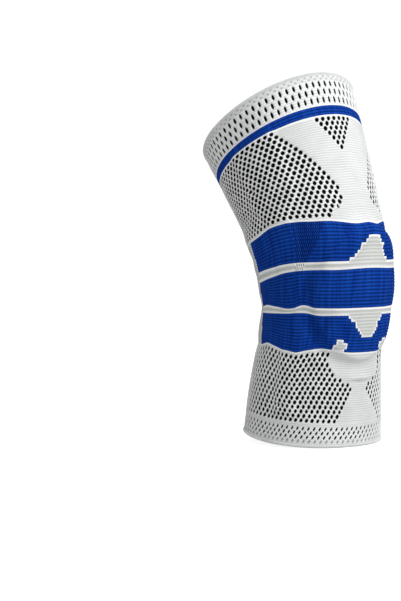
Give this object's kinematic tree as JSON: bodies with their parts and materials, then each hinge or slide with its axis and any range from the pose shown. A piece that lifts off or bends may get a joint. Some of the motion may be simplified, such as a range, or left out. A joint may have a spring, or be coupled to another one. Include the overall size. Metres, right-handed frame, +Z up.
{
  "type": "knee sleeve",
  "caption": "Knitted knee sleeve with ribbed cuffs, open-work calf and thigh zones, blue kneecap bands, a soft ring round the kneecap and spring stays at the sides.",
  "frame": {"origin": "on the leg's axis at the middle of the kneecap, where a leg sits in the sleeve", "axes": "+Z up along the shin, -Y towards the kneecap, and the thigh leans back towards +Y"},
  "size_m": [0.141, 0.1763, 0.3188],
  "materials": {
    "knit": "white elastic circular knit with blue bands and black-backed open work",
    "silicone": "soft matt pale lilac silicone",
    "stay_plastic": "smooth off-white moulded plastic",
    "stay_spring": "flat double spiral of bright steel wire"
  },
  "bodies": {
    "root": {"knit_sleeve": "knit", "patella_ring": "silicone", "inner_stay_head": "stay_plastic", "inner_stay_spring": "stay_spring", "inner_stay_tip": "stay_plastic", "outer_stay_head": "stay_plastic", "outer_stay_spring": "stay_spring", "outer_stay_tip": "stay_plastic"}
  },
  "joints": []
}
